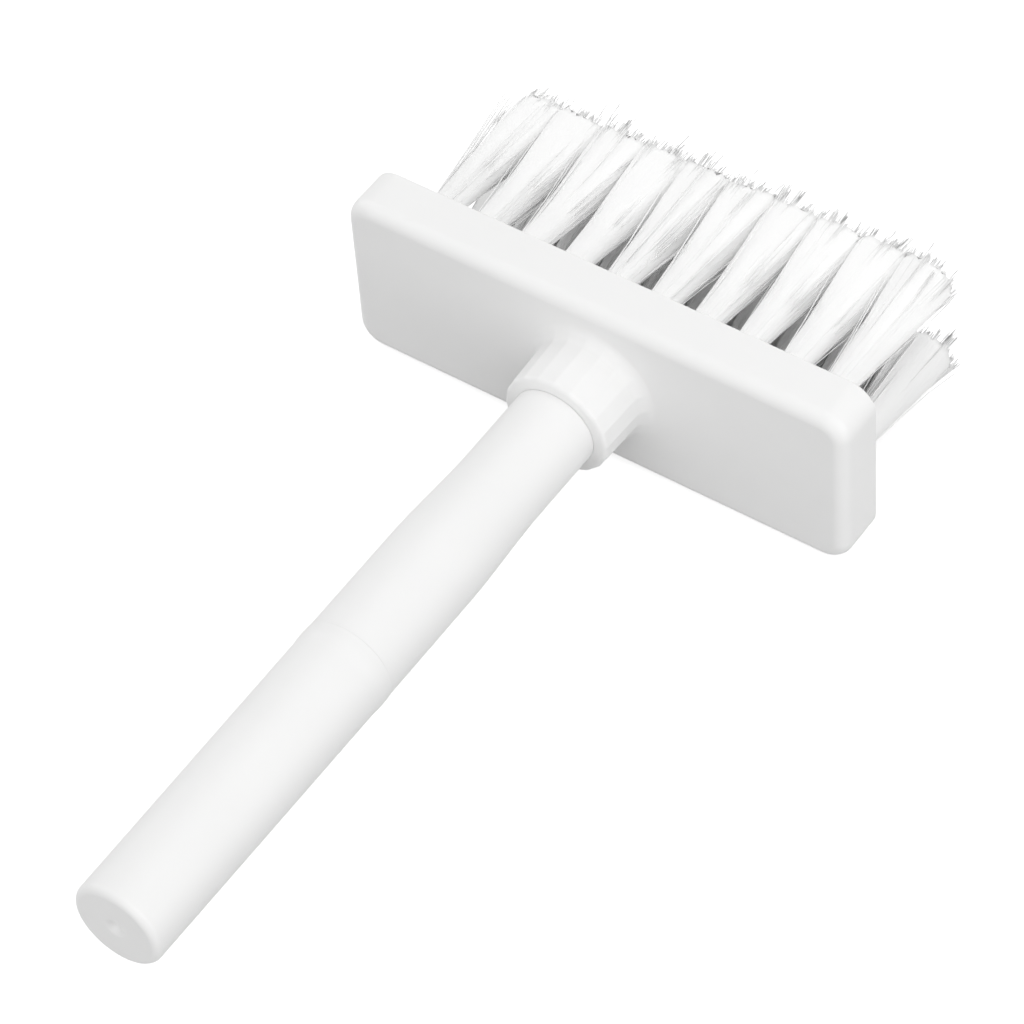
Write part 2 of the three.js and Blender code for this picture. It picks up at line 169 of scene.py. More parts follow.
# Clumps of filaments at the tips
CLUMPS_PER_TUFT = 60
CLUMP_PACKING = 0.5
CLUMP_PULL = 0.35
CLUMP_START = 0.72
CLUMP_BEND = 1.5
CLUMP_LEAN = 0.35 * MM
CLUMP_RAGGEDNESS = 0.85 * MM

# Stray filaments, and the loose wisp beside the first upper tuft
STRAYS_PER_TUFT = 32
STRAY_SPLAY = 3 * MM
STRAY_RISE = 1.6 * MM
STRAY_END_SHARE = 0.3
STRAY_SHORTER = 1 * MM
STRAY_LONGER = 2.6 * MM
STRAY_BEND = 1
WISP_STRANDS = 18
WISP_REACH = 3.8 * MM
WISP_LEAST_SHARE = 0.2

# Packed middle of a tuft, whose rings are (share of its length, fullness)
CORE_SIDES = 48
CORE_LENGTH = 0.97
CORE_RAGGEDNESS = 0.3 * MM
CORE_RINGS = (
    (0, 1), (0.25, 1), (0.5, 1), (0.75, 1), (0.9, 1), (0.97, 0.985), (1, 0.95), (1, 0.9),
)

# Fits: the solids' clearance, and the closer play that is drawn round the wires and the nib
FIT_CLEARANCE = 0.2 * MM
HOLE_PLAY = 0.1 * MM

# Puller
PLUG_FLANGE = 2 * MM
PLUG_WEB = 0.4 * MM
PLUG_RADIUS = BARREL_BORE - FIT_CLEARANCE
FLANGE_RADIUS = (PLUG_HIGH[0] - PLUG_LOW[0]) / 2
FLANGE_ROUND = 0.3 * MM
WIRE_RADIUS = 0.6 * MM
WIRE_HOLE = WIRE_RADIUS + HOLE_PLAY
WIRE_SOCKET_DEPTH = 12 * MM
WIRE_FLARE = 20 * MM
WIRE_FLARE_BEND = 4 * MM
WIRE_HOOK = 2.4 * MM
WIRE_HOOK_RISE = 5 * MM
WIRE_HOOK_BEND = 1.6 * MM
WIRE_SWING_ROOM = 0.45 * MM
WIRE_LEG_RADIUS = PLUG_RADIUS - PLUG_WEB - WIRE_RADIUS - FIT_CLEARANCE
WIRE_LEG_ANGLE = math.radians(40)
WIRE_LOOP_RADIUS = CAP_BORE - WIRE_SWING_ROOM - WIRE_RADIUS
WIRE_LOOP_ANGLE = math.radians(30)

# Nib
NIB_RADIUS = 1 * MM
NIB_CHAMFER = 0.1 * MM
NIB_SHOULDER = HOLDER_HIGH[1]
NIB_GROOVE_START = NIB_SHOULDER + 0.3 * MM
NIB_GROOVE_SLOPE = 0.1 * MM
NIB_GROOVE_FLOOR = 0.2 * MM
NIB_GROOVE_DEPTH = 0.12 * MM
NIB_POINT_RADIUS = 0.3 * MM
NIB_POINT_DEGREES = 12
NIB_HOLE = NIB_RADIUS + HOLE_PLAY
HOLDER_FLANGE = 1 * MM
HOLDER_FLANGE_CHAMFER = 0.15 * MM
HOLDER_NOSE = 1.4 * MM
HOLDER_NOSE_WALL = 0.8 * MM
HOLDER_FLOOR = 3 * MM

# Fineness of the meshes
TURNS = 160
SMALL_TURNS = 64
TUFT_HOLE_TURNS = 32
WIRE_HOLE_TURNS = 20
CORNER_STEPS = 14
EDGE_STEPS = 9
RIM_STEPS = 8
FILLET_STEPS = 12
REAR_EDGE_STEPS = 3
SMALL_EDGE_STEPS = 4
FACET_FLAT_STEPS = 3
FACET_CORNER_STEPS = 4
FLARE_STEPS = 16
SWELL_STEPS = 8
POINT_STEPS = 6
BEND_STEPS = 8
WIRE_BEVEL_STEPS = 5
WELD = 0.0001 * MM
SHARP_DEGREES = 35
WIRE_SHARP_DEGREES = 50
SEED = 7


# Meshes

def placed(name, data):
    """A new object in the scene."""
    thing = bpy.data.objects.new(name, data)
    bpy.context.scene.collection.objects.link(thing)
    return thing


def new_object(name, builder):
    """An object from a bmesh, with outward faces."""
    bmesh.ops.recalc_face_normals(builder, faces=builder.faces)
    mesh = bpy.data.meshes.new(name)
    builder.to_mesh(mesh)
    builder.free()
    return placed(name, mesh)


def smooth(piece, sharp_degrees=SHARP_DEGREES):
    """Smooth shading that keeps flat faces flat and hard edges hard."""
    piece.data.polygons.foreach_set("use_smooth", [True] * len(piece.data.polygons))
    piece.data.set_sharp_from_angle(angle=math.radians(sharp_degrees))
    weighted = piece.modifiers.new("flat faces stay flat", "WEIGHTED_NORMAL")
    weighted.keep_sharp = True
    return piece


def arc(centre_radius, centre_y, radius, start, end, steps=EDGE_STEPS):
    """Points of a round, as (distance from the axis, place along it), angles in degrees."""
    points = []
    for i in range(steps + 1):
        angle = math.radians(start + (end - start) * i / steps)
        points.append((centre_radius + radius * math.cos(angle),
                       centre_y + radius * math.sin(angle)))
    return points


def ring(builder, outline, y):
    """Vertices of a closed outline, at one place along the handle's axis."""
    return [builder.verts.new((x, y, AXIS_Z + z)) for x, z in outline]


def bridge(builder, first, second):
    """Quads between two rings of as many vertices."""
    count = len(first)
    for i in range(count):
        j = (i + 1) % count
        builder.faces.new((first[i], first[j], second[j], second[i]))


def loft(builder, rings):
    """Quads from each ring to the next."""
    for first, second in zip(rings, rings[1:]):
        bridge(builder, first, second)


def fan(builder, rim, centre):
    """Triangles from a ring to one vertex."""
    for i in range(len(rim)):
        builder.faces.new((rim[i], rim[(i + 1) % len(rim)], centre))


def loop_edges(builder, vertices):
    """The edges round a ring, made where they are missing."""
    edges = []
    for i in range(len(vertices)):
        pair = (vertices[i], vertices[(i + 1) % len(vertices)])
        edges.append(builder.edges.get(pair) or builder.edges.new(pair))
    return edges


def fill(builder, *rings):
    """A flat face between an outer ring and the rings of its holes."""
    edges = [edge for vertices in rings for edge in loop_edges(builder, vertices)]
    bmesh.ops.triangle_fill(builder, edges=edges, use_beauty=True, use_dissolve=False)


def circle(radius, turns=TURNS, x=0.0, z=0.0):
    """A round outline."""
    angles = [2 * math.pi * i / turns for i in range(turns)]
    return [(x + radius * math.cos(a), z + radius * math.sin(a)) for a in angles]


def blind_hole(builder, steps, turns, x=0.0, z=0.0):
    """A round hole with a floor, from (radius, place) steps inwards. Gives back its mouth."""
    rings = [ring(builder, circle(radius, turns, x, z), y) for radius, y in steps]
    loft(builder, rings)
    builder.faces.new(rings[-1])
    return rings[0]


def turned(name, profile, turns=TURNS, flats=None):
    """A form turned about the handle's axis, from (distance, place) points. A point on the axis
    is a pole, and a profile with none closes on itself. flats is (place along the axis, height):
    past that place, the form is cut flat above and below."""
    builder = bmesh.new()
    rings = []
    for radius, y in profile:
        if radius < WELD:
            rings.append(builder.verts.new((0, y, AXIS_Z)))
            continue
        outline = circle(radius, turns)
        if flats and y > flats[0]:
            outline = [(x, max(-flats[1], min(flats[1], z))) for x, z in outline]
        rings.append(ring(builder, outline, y))
    pairs = list(zip(rings, rings[1:]))
    if isinstance(rings[0], list) and isinstance(rings[-1], list):
        pairs.append((rings[-1], rings[0]))
    for first, second in pairs:
        if isinstance(first, list) and isinstance(second, list):
            bridge(builder, first, second)
        elif isinstance(first, list):
            fan(builder, first, second)
        else:
            fan(builder, second, first)
    bmesh.ops.remove_doubles(builder, verts=builder.verts, dist=WELD)
    return smooth(new_object(name, builder))


def head_outline(inset):
    """The head's rounded outline, drawn in by an inset."""
    x = HEAD_HALF_WIDTH - inset
    z = HEAD_HALF_HEIGHT - inset
    radius = max(HEAD_CORNER - inset, LEAST_CORNER)
    points = []
    for quarter, (side_x, side_z) in enumerate(((1, 1), (-1, 1), (-1, -1), (1, -1))):
        for i in range(CORNER_STEPS + 1):
            angle = math.pi / 2 * (quarter + i / CORNER_STEPS)
            points.append((side_x * (x - radius) + radius * math.cos(angle),
                           side_z * (z - radius) + radius * math.sin(angle)))
    return points


def facet_angles():
    """Angles round the boss, close together at the facets' corners, one of which is at the top."""
    half = math.pi / BOSS_FACETS
    flat = math.atan((BOSS_RADIUS - BOSS_CORNER) * math.tan(half) / BOSS_RADIUS)
    one_side = [flat * i / FACET_FLAT_STEPS for i in range(FACET_FLAT_STEPS + 1)]
    for i in range(1, FACET_CORNER_STEPS + 1):
        one_side.append(flat + (half - flat) * i / FACET_CORNER_STEPS)
    facet = [-angle for angle in reversed(one_side[1:-1])] + one_side
    return [2 * half * i + half + angle for i in range(BOSS_FACETS) for angle in facet]


FACET_ANGLES = facet_angles()


def facet_outline(inradius, roundness=0.0):
    """The boss's outline: slightly hollow facets with rounded corners, blending to a circle as
    roundness goes to 1."""
    half = math.pi / BOSS_FACETS
    corner_distance = (inradius - BOSS_CORNER) / math.cos(half)
    flat_share = 1 - BOSS_CORNER / inradius
    points = []
    for angle in FACET_ANGLES:
        off_flat = abs(angle % (2 * half) - half)
        if inradius * math.tan(off_flat) > (inradius - BOSS_CORNER) * math.tan(half):
            turn = half - off_flat
            reach = BOSS_CORNER ** 2 - (corner_distance * math.sin(turn)) ** 2
            radius = corner_distance * math.cos(turn) + math.sqrt(max(reach, 0))
        else:
            radius = inradius / math.cos(off_flat)
            radius -= FACET_HOLLOW * max(0.0, 1 - (off_flat / half / flat_share) ** 2)
        radius += (inradius * FILLET_SWELL - radius) * roundness
        points.append((radius * math.cos(angle), radius * math.sin(angle)))
    return points


def socket_outline(radius, flat):
    """The keyed socket: a circle cut by a flat above and below."""
    points = []
    for angle in FACET_ANGLES:
        height = radius * math.sin(angle)
        points.append((radius * math.cos(angle), max(-flat, min(flat, height))))
    return points


def make_head_shell():
    """The moulded head: rounded plate, rear pocket, faceted boss and keyed socket, as one skin."""
    builder = bmesh.new()
    inradius = BOSS_RADIUS * math.cos(math.pi / BOSS_FACETS)
    base = inradius + BOSS_DRAFT
    # Boss, from its socket's floor out over the rim and back along the facets to the head's face
    socket = socket_outline(SOCKET_RADIUS, SOCKET_FLAT)
    lead = socket_outline(SOCKET_RADIUS + SOCKET_LEAD, SOCKET_FLAT + SOCKET_LEAD)
    boss = [
        ring(builder, socket, POCKET_FLOOR),
        ring(builder, socket, BOSS_END + SOCKET_LEAD),
        ring(builder, lead, BOSS_END),
    ]
    for radius, y in arc(inradius - BOSS_RIM, BOSS_END + BOSS_RIM, BOSS_RIM, -90, 0, RIM_STEPS):
        boss.append(ring(builder, facet_outline(radius), y))
    fillet = arc(base + BOSS_FILLET, HEAD_FRONT - BOSS_FILLET, BOSS_FILLET, 180, 90, FILLET_STEPS)
    for i, (radius, y) in enumerate(fillet):
        boss.append(ring(builder, facet_outline(radius, i / FILLET_STEPS), y))
    loft(builder, boss)
    # Plate, from its front face over the rounded edge to the rear rim and into the pocket
    plate = []
    for inset, y in arc(HEAD_EDGE, HEAD_FRONT + HEAD_EDGE, HEAD_EDGE, 270, 180):
        plate.append(ring(builder, head_outline(inset), y))
    for inset, y in arc(REAR_EDGE, HEAD_REAR - REAR_EDGE, REAR_EDGE, 180, 90, REAR_EDGE_STEPS):
        plate.append(ring(builder, head_outline(inset), y))
    plate.append(ring(builder, head_outline(HEAD_WALL - REAR_EDGE), HEAD_REAR))
    plate.append(ring(builder, head_outline(HEAD_WALL), HEAD_REAR - REAR_EDGE))
    plate.append(ring(builder, head_outline(HEAD_WALL), POCKET_FLOOR))
    loft(builder, plate)
    fill(builder, plate[0], boss[-1])
    fill(builder, plate[-1], boss[0])
    return smooth(new_object("head_shell_moulding", builder))


def make_barrel():
    """The handle's front half: necked tube with a keyed spigot in front and a plain one behind."""
    neck_end = BARREL_FRONT - NECK_LENGTH
    flare = []
    for i in range(FLARE_STEPS + 1):
        share = 1 - i / FLARE_STEPS
        blend = share * share * (3 - 2 * share)
        radius = NECK_RADIUS + (BARREL_RADIUS - NECK_RADIUS) * blend
        flare.append((radius, neck_end - share * NECK_FLARE))
    rear_edge = arc(BARREL_RADIUS - SEAM_ROUND, BARREL_REAR + SEAM_ROUND, SEAM_ROUND,
                    -90, 0, SMALL_EDGE_STEPS)
    shoulder = arc(NECK_RADIUS - SHOULDER_ROUND, BARREL_FRONT - SHOULDER_ROUND, SHOULDER_ROUND,
                   0, 90)
    profile = [
        (BARREL_BORE, BARREL_LOW[1]),
        (REAR_SPIGOT_RADIUS - SPIGOT_CHAMFER, BARREL_LOW[1]),
        (REAR_SPIGOT_RADIUS, BARREL_LOW[1] + SPIGOT_CHAMFER),
        (REAR_SPIGOT_RADIUS, BARREL_REAR),
        *rear_edge,
        *flare,
        *shoulder,
        (FRONT_SPIGOT_RADIUS, BARREL_FRONT),
        (FRONT_SPIGOT_RADIUS, BARREL_FRONT + FLATS_START),
        (FRONT_SPIGOT_RADIUS, BARREL_HIGH[1] - SPIGOT_CHAMFER),
        (FRONT_SPIGOT_RADIUS - SPIGOT_CHAMFER, BARREL_HIGH[1]),
        (BARREL_BORE, BARREL_HIGH[1]),
    ]
    return turned("barrel_tube", profile, flats=(BARREL_FRONT + FLATS_START / 2, SPIGOT_FLAT))


def make_cap():
    """The long pull-off cap: closed end with a round rim and a dimple, and a lip at the mouth."""
    dimple = []
    lip = []
    lip_start = CAP_MOUTH - CAP_LIP_LENGTH
    for i in range(SWELL_STEPS + 1):
        share = i / SWELL_STEPS
        rise = (1 - math.cos(math.pi * share)) / 2
        dimple.append((DIMPLE_RADIUS * share, CAP_END + DIMPLE_DEPTH * (1 - rise)))
        lip.append((BARREL_RADIUS + CAP_LIP_HEIGHT * rise,
                    lip_start + (CAP_LIP_LENGTH - CAP_LIP_CREST) * share))
    mouth_radius = BARREL_RADIUS + CAP_LIP_HEIGHT / 2
    profile = [
        *dimple,
        *arc(CAP_TAIL_RADIUS - CAP_RIM, CAP_END + CAP_RIM, CAP_RIM, -90, 0),
        *lip,
        *arc(mouth_radius - SEAM_ROUND, CAP_MOUTH - SEAM_ROUND, SEAM_ROUND,
             0, 90, SMALL_EDGE_STEPS),
        (CAP_BORE + SEAM_ROUND, CAP_MOUTH),
        (CAP_BORE, CAP_MOUTH - SEAM_ROUND),
        (CAP_BORE, CAP_FLOOR),
        (0, CAP_FLOOR),
    ]
    return turned("cap_tube", profile)


def tuft_centres(low, high):
    """The middles of one row's tufts, as (x, z) about the handle's axis."""
    z = (low[2] + high[2]) / 2 - AXIS_Z
    pitch = 2 * TUFT_SPAN / (TUFTS_PER_ROW - 1)
    return [(-TUFT_SPAN + i * pitch, z) for i in range(TUFTS_PER_ROW)]


ROWS = {
    "bristle_row_upper": tuft_centres(UPPER_LOW, UPPER_HIGH),
    "bristle_row_lower": tuft_centres(LOWER_LOW, LOWER_HIGH),
}


def make_tuft_block():
    """The block in the head's pocket: chamfered tuft holes behind, room for the nib in front."""
    builder = bmesh.new()
    inset = HEAD_WALL + BLOCK_PLAY
    front, rear = BLOCK_LOW[1], BLOCK_HIGH[1]
    sides = [
        ring(builder, head_outline(inset), front),
        ring(builder, head_outline(inset), rear - BLOCK_EDGE),
        ring(builder, head_outline(inset + BLOCK_EDGE), rear),
    ]
    loft(builder, sides)
    tuft_hole = [
        (TUFT_HOLE + TUFT_HOLE_CHAMFER, rear),
        (TUFT_HOLE, rear - TUFT_HOLE_CHAMFER),
        (TUFT_HOLE, rear - TUFT_HOLE_DEPTH),
    ]
    mouths = []
    for x, z in ROWS["bristle_row_upper"] + ROWS["bristle_row_lower"]:
        mouths.append(blind_hole(builder, tuft_hole, TUFT_HOLE_TURNS, x, z))
    nib_recess = [
        (NIB_RECESS_RADIUS, front),
        (NIB_RECESS_RADIUS, NIB_HIGH[1] + NIB_RECESS_PLAY),
    ]
    recess = blind_hole(builder, nib_recess, SMALL_TURNS)
    fill(builder, sides[-1], *mouths)
    fill(builder, sides[0], recess)
    return smooth(new_object("tuft_block_moulding", builder))


# Bristles

def sunflower(count, power, rng):
    """Points spread over a unit disc: evenly for a power of a half, and nearer its edge below."""
    index = np.arange(count)
    reach = ((index + 0.5) / count) ** power
    angle = index * GOLDEN_ANGLE + rng.uniform(0, 2 * math.pi)
    return np.stack([reach * np.cos(angle), reach * np.sin(angle)], axis=1)


def tuft_length(x):
    """How far a tuft stands out of the block, by its place along the head."""
    return FILAMENT_LENGTH + FILAMENT_LENGTH_SLOPE * x


def tuft_tip(x, z):
    """Where the middle of a tuft's tip lies along the head."""
    return x * UPPER_FAN + UPPER_LEAN if z > 0 else x * LOWER_FAN + LOWER_LEAN


def outer_side(x):
    """-1 or 1 for the tuft at the left or right end of a row, 0 for the others."""
    return math.copysign(1, x) if abs(x) > TUFT_SPAN - END_TOLERANCE else 0


def tuft_section(points, share, outside):
    """Places across a tuft at a share of its length, from points of a unit disc: round in the
    hole, and nearly square at the tips, where neighbouring tufts press together. A row's free
    ends stay round."""
    squareness = max(0.0, share - TUFT_SQUARE_START) / (1 - TUFT_SQUARE_START)
    pressed = points[..., 0] * outside <= 0
    power = ROUND_POWER + (TUFT_TIP_POWER - ROUND_POWER) * squareness * pressed
    angle = np.arctan2(points[..., 1], points[..., 0])
    swell = (np.abs(np.cos(angle)) ** power + np.abs(np.sin(angle)) ** power) ** (-1 / power)
    radius = TUFT_ROOT_RADIUS + (TUFT_TIP_RADIUS - TUFT_ROOT_RADIUS) * share
    return points * (swell * radius)[..., None]


def tuft_points(x, z, share, lengths, across):
    """Points of a tuft at a share of its length, from its strands' lengths and places across."""
    along = BLOCK_HIGH[1] - FILAMENT_ANCHORAGE + (lengths + FILAMENT_ANCHORAGE) * share
    middle = x + (tuft_tip(x, z) - x) * share
    return np.stack([middle + across[:, 0], along, AXIS_Z + z + across[:, 1]], axis=1)


def tuft_lines(x, z, rng):
    """Centre lines of one tuft's filaments, (filaments, steps + 1, 3): straight, spreading with
    the tuft, and gathered in clumps towards the tips. A few stray, and the first upper tuft has
    a loose wisp outside."""
    count = FILAMENTS_PER_TUFT
    outside = outer_side(x)
    discs = sunflower(count, FILAMENT_PACKING, rng) * SURFACE_SINK
    discs += rng.normal(0, PACKING_SCATTER, (count, 2))
    clumps = sunflower(CLUMPS_PER_TUFT, CLUMP_PACKING, rng)
    nearest = np.argmin(((discs[:, None] - clumps[None]) ** 2).sum(axis=2), axis=1)
    clump_lean = rng.normal(0, CLUMP_LEAN, (CLUMPS_PER_TUFT, 2))
    clump_length = rng.normal(0, CLUMP_RAGGEDNESS, CLUMPS_PER_TUFT)
    stray = rng.permutation(count) < STRAYS_PER_TUFT
    lengths = tuft_length(x) + clump_length[nearest] + rng.normal(0, FILAMENT_RAGGEDNESS, count)
    lengths += np.where(stray, rng.uniform(-STRAY_SHORTER, STRAY_LONGER, count), 0)
    lean = rng.normal(0, FILAMENT_LEAN, (count, 2)) + clump_lean[nearest]
    splay = rng.uniform(-1, 1, (count, 2)) * (STRAY_SPLAY, STRAY_RISE)
    splay[:, 0] *= np.where(splay[:, 0] * outside > 0, STRAY_END_SHARE, 1)
    wander = np.where(stray[:, None], splay, rng.normal(0, FILAMENT_WANDER, (count, 2)))
    if outside < 0 < z:
        wisp = np.argsort(discs[:, 0])[:WISP_STRANDS]
        wander[wisp, 0] = -WISP_REACH * rng.uniform(WISP_LEAST_SHARE, 1, WISP_STRANDS)
    bend = np.where(stray, STRAY_BEND, FILAMENT_BEND)[:, None]
    lines = np.empty((count, FILAMENT_STEPS + 1, 3))
    for step in range(FILAMENT_STEPS + 1):
        share = step / FILAMENT_STEPS
        late = max(0.0, (share - CLUMP_START) / (1 - CLUMP_START)) ** CLUMP_BEND
        gathered = discs + (clumps[nearest] - discs) * CLUMP_PULL * late
        across = tuft_section(gathered, share, outside) + lean * late + wander * share ** bend
        lines[:, step] = tuft_points(x, z, share, lengths, across)
    return lines


def tube_faces(count, steps, sides):
    """Faces of many closed tubes, each of as many rings of vertices, in order."""
    side = np.arange(sides)
    following = (side + 1) % sides
    near = np.arange(steps - 1)[:, None] * sides
    far = near + sides
    quads = np.stack([near + side, far + side, far + following, near + following], axis=2)
    first = np.arange(count)[:, None] * steps * sides
    walls = (first[:, :, None] + quads.reshape(1, -1, 4)).reshape(-1, 4)
    tops = first + (steps - 1) * sides + side[None, ::-1]
    bottoms = first + side[None]
    return walls.tolist() + tops.tolist() + bottoms.tolist()


def filament_points(lines, rng):
    """Vertices of tapering filaments round their centre lines."""
    count, steps = lines.shape[:2]
    taper = np.linspace(FILAMENT_RADIUS, FILAMENT_TIP_RADIUS, steps)
    turn = rng.uniform(0, 2 * math.pi, count)[:, None]
    turn = turn + 2 * math.pi * np.arange(FILAMENT_SIDES) / FILAMENT_SIDES
    offset = np.stack([np.cos(turn), np.zeros_like(turn), np.sin(turn)], axis=2)
    return (lines[:, :, None, :] + taper[None, :, None, None] * offset[:, None]).reshape(-1, 3)


def core_points(centres, rng):
    """Vertices of each tuft's packed middle, which the outer filaments cover, ragged at its end."""
    turn = 2 * math.pi * np.arange(CORE_SIDES) / CORE_SIDES
    rim = np.stack([np.cos(turn), np.sin(turn)], axis=1)
    points = []
    for x, z in centres:
        lengths = np.full(CORE_SIDES, tuft_length(x))
        ragged = rng.normal(0, CORE_RAGGEDNESS, CORE_SIDES)
        for part, fullness in CORE_RINGS:
            share = part * CORE_LENGTH
            across = tuft_section(rim, share, outer_side(x)) * fullness
            core_ring = tuft_points(x, z, share, lengths, across)
            core_ring[:, 1] += ragged * (part == 1)
            points.append(core_ring)
    return np.concatenate(points)


def open_side(x, z):
    """The way that a tuft lies open to the light: up, or outwards at the ends of the lower row."""
    outside = outer_side(x)
    return (outside, 0, 0) if outside and z < 0 else (0, 0, 1)


def lifted_normals(mesh, core_start, centres):
    """Vertex normals turned towards each tuft's open side, as translucent nylon spreads light to
    its flanks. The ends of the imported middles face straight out."""
    normals = np.empty(3 * len(mesh.vertices))
    mesh.vertex_normals.foreach_get("vector", normals)
    normals = normals.reshape(-1, 3)
    tufts = len(centres)
    lift = GLOW_LIFT * np.array([open_side(x, z) for x, z in centres])[:, None]
    for part in (normals[:core_start], normals[core_start:]):
        part += np.broadcast_to(lift, (tufts, len(part) // tufts, 3)).reshape(-1, 3)
    normals[core_start:].reshape(tufts, -1, CORE_SIDES, 3)[:, -1] = (0, 1, 0)
    return normals / np.linalg.norm(normals, axis=1, keepdims=True)


def make_bristles(name, centres, seed):
    """One row of tufts: separate tapering filaments that spread from their holes to a ragged tip
    line, round packed middles."""
    rng = np.random.default_rng(seed)
    lines = np.concatenate([tuft_lines(x, z, rng) for x, z in centres])
    strands = filament_points(lines, rng)
    cores = core_points(centres, rng)
    faces = tube_faces(len(lines), FILAMENT_STEPS + 1, FILAMENT_SIDES)
    core_faces = tube_faces(len(centres), len(CORE_RINGS), CORE_SIDES)
    faces += [[corner + len(strands) for corner in face] for face in core_faces]
    mesh = bpy.data.meshes.new(name)
    mesh.from_pydata(np.concatenate([strands, cores]).tolist(), [], faces)
    mesh.polygons.foreach_set("use_smooth", [True] * len(mesh.polygons))
    normals = lifted_normals(mesh, len(strands), centres)
    mesh.normals_split_custom_set_from_vertices(normals.tolist())
    return placed(name, mesh)


# Tools inside the handle

def make_nib_holder():
    """The plug that carries the nib, with a flange against the spigot's end and a short nose."""
    low, high = HOLDER_LOW[1], HOLDER_HIGH[1]
    flange_end = high - HOLDER_NOSE
    flange_start = flange_end - HOLDER_FLANGE
    profile = [
        (0, low),
        (PLUG_RADIUS - SPIGOT_CHAMFER, low),
        (PLUG_RADIUS, low + SPIGOT_CHAMFER),
        (PLUG_RADIUS, flange_start),
        (FLANGE_RADIUS - HOLDER_FLANGE_CHAMFER, flange_start),
        (FLANGE_RADIUS, flange_start + HOLDER_FLANGE_CHAMFER),
        *arc(FLANGE_RADIUS - FLANGE_ROUND, flange_end - FLANGE_ROUND, FLANGE_ROUND,
             0, 90, SMALL_EDGE_STEPS),
        (NIB_HOLE + HOLDER_NOSE_WALL, high),
        (NIB_HOLE, high),
        (NIB_HOLE, low + HOLDER_FLOOR),
        (0, low + HOLDER_FLOOR),
    ]
    return turned("nib_holder_moulding", profile, SMALL_TURNS)


def make_nib():
    """The metal nib: a turned shank, a fine groove and a long blunt point."""
    floor_start = NIB_GROOVE_START + NIB_GROOVE_SLOPE
    floor_end = floor_start + NIB_GROOVE_FLOOR
    profile = [
        (0, NIB_LOW[1]),
        (NIB_RADIUS - NIB_CHAMFER, NIB_LOW[1]),
        (NIB_RADIUS, NIB_LOW[1] + NIB_CHAMFER),
        (NIB_RADIUS, NIB_GROOVE_START),
        (NIB_RADIUS - NIB_GROOVE_DEPTH, floor_start),
        (NIB_RADIUS - NIB_GROOVE_DEPTH, floor_end),
        (NIB_RADIUS, floor_end + NIB_GROOVE_SLOPE),
        *arc(0, NIB_HIGH[1] - NIB_POINT_RADIUS, NIB_POINT_RADIUS,
             NIB_POINT_DEGREES, 90, POINT_STEPS),
    ]
    return turned("nib_point", profile, SMALL_TURNS)


def wire_leg():
    """Where the right-hand wire's upper leg enters the plug, as (x, z) about the handle's axis."""
    return WIRE_LEG_RADIUS * math.cos(WIRE_LEG_ANGLE), WIRE_LEG_RADIUS * math.sin(WIRE_LEG_ANGLE)


def make_puller_plug():
    """The plug that grips the puller's wires in the rear of the barrel."""
    builder = bmesh.new()
    rear, front = PLUG_LOW[1], PLUG_HIGH[1]
    step = rear + PLUG_FLANGE
    profile = [
        *arc(FLANGE_RADIUS - FLANGE_ROUND, rear + FLANGE_ROUND, FLANGE_ROUND,
             -90, 0, SMALL_EDGE_STEPS),
        (FLANGE_RADIUS, step),
        (PLUG_RADIUS, step),
        (PLUG_RADIUS, front - SPIGOT_CHAMFER),
        (PLUG_RADIUS - SPIGOT_CHAMFER, front),
    ]
    rings = [ring(builder, circle(radius, SMALL_TURNS), y) for radius, y in profile]
    loft(builder, rings)
    builder.faces.new(rings[-1])
    socket = [(WIRE_HOLE, rear), (WIRE_HOLE, rear + WIRE_SOCKET_DEPTH)]
    leg_x, leg_z = wire_leg()
    mouths = []
    for x, z in ((leg_x, leg_z), (-leg_x, leg_z), (-leg_x, -leg_z), (leg_x, -leg_z)):
        mouths.append(blind_hole(builder, socket, WIRE_HOLE_TURNS, x, z))
    fill(builder, rings[0], *mouths)
    return smooth(new_object("puller_plug_moulding", builder))


def rounded_route(corners, reaches):
    """Points along a line of corners, each rounded off over its own reach."""
    route = [corners[0]]
    for before, here, after, reach in zip(corners, corners[1:], corners[2:], reaches[1:]):
        into = here + (before - here).normalized() * min(reach, (before - here).length / 2)
        out = here + (after - here).normalized() * min(reach, (after - here).length / 2)
        for i in range(BEND_STEPS + 1):
            t = i / BEND_STEPS
            route.append(into * (1 - t) ** 2 + here * 2 * t * (1 - t) + out * t ** 2)
    route.append(corners[-1])
    return route


def round_wire(name, route):
    """A mesh of round wire along a route."""
    curve = bpy.data.curves.new(name, "CURVE")
    curve.dimensions = "3D"
    curve.bevel_depth = WIRE_RADIUS
    curve.bevel_resolution = WIRE_BEVEL_STEPS
    curve.use_fill_caps = True
    spline = curve.splines.new("POLY")
    spline.points.add(len(route) - 1)
    for place, point in zip(spline.points, route):
        place.co = (*point, 1)
    drawn = placed(name + "_route", curve)
    graph = bpy.context.evaluated_depsgraph_get()
    mesh = bpy.data.meshes.new_from_object(drawn.evaluated_get(graph))
    bpy.data.objects.remove(drawn)
    return mesh


